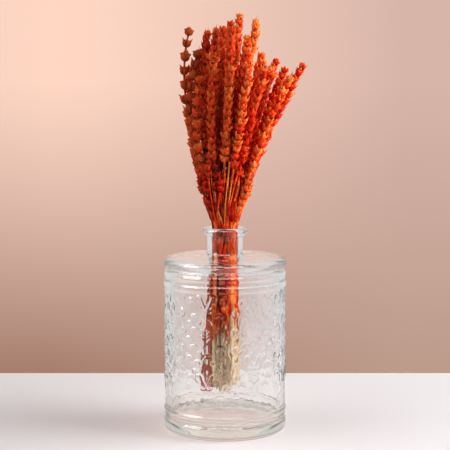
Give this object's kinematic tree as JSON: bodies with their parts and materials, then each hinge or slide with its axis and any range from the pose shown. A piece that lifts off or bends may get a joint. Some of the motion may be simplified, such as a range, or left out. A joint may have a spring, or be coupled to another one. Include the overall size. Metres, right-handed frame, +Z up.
{
  "type": "dried ironwort in vase",
  "caption": "Bunch of orange-dyed dried ironwort stems with whorled flower spikes, standing in the neck of a clear pressed-glass bottle vase with a flat shoulder and rolled lip.",
  "frame": {"origin": "centre of the vase's foot, on the surface it stands on", "axes": "+Z up along the vase's axis, +X to the right and -Y towards the viewer of the front"},
  "size_m": [0.1162, 0.1002, 0.3383],
  "materials": {
    "clear_glass": "gloss",
    "dyed_ironwort": "matte"
  },
  "bodies": {
    "root": {"vase": "clear_glass", "ironwort_spike_01": "dyed_ironwort", "ironwort_spike_02": "dyed_ironwort", "ironwort_spike_03": "dyed_ironwort", "ironwort_spike_04": "dyed_ironwort", "ironwort_spike_05": "dyed_ironwort", "ironwort_spike_06": "dyed_ironwort", "ironwort_spike_07": "dyed_ironwort", "ironwort_spike_08": "dyed_ironwort", "ironwort_spike_09": "dyed_ironwort", "ironwort_spike_10": "dyed_ironwort", "ironwort_spike_11": "dyed_ironwort", "ironwort_spike_12": "dyed_ironwort", "ironwort_spike_13": "dyed_ironwort", "ironwort_spike_14": "dyed_ironwort", "ironwort_spike_15": "dyed_ironwort", "ironwort_spike_16": "dyed_ironwort", "ironwort_spike_17": "dyed_ironwort", "ironwort_spike_18": "dyed_ironwort", "ironwort_spike_19": "dyed_ironwort", "ironwort_spike_20": "dyed_ironwort", "ironwort_spike_21": "dyed_ironwort", "ironwort_spike_22": "dyed_ironwort", "ironwort_spike_23": "dyed_ironwort", "ironwort_spike_24": "dyed_ironwort", "ironwort_spike_25": "dyed_ironwort", "ironwort_spike_26": "dyed_ironwort", "ironwort_spike_27": "dyed_ironwort", "ironwort_spike_28": "dyed_ironwort", "ironwort_spike_29": "dyed_ironwort", "ironwort_spike_30": "dyed_ironwort", "ironwort_spike_31": "dyed_ironwort", "ironwort_spike_32": "dyed_ironwort", "ironwort_spike_33": "dyed_ironwort", "ironwort_spike_34": "dyed_ironwort", "ironwort_spike_35": "dyed_ironwort", "ironwort_spike_36": "dyed_ironwort", "ironwort_spike_37": "dyed_ironwort"}
  },
  "joints": []
}
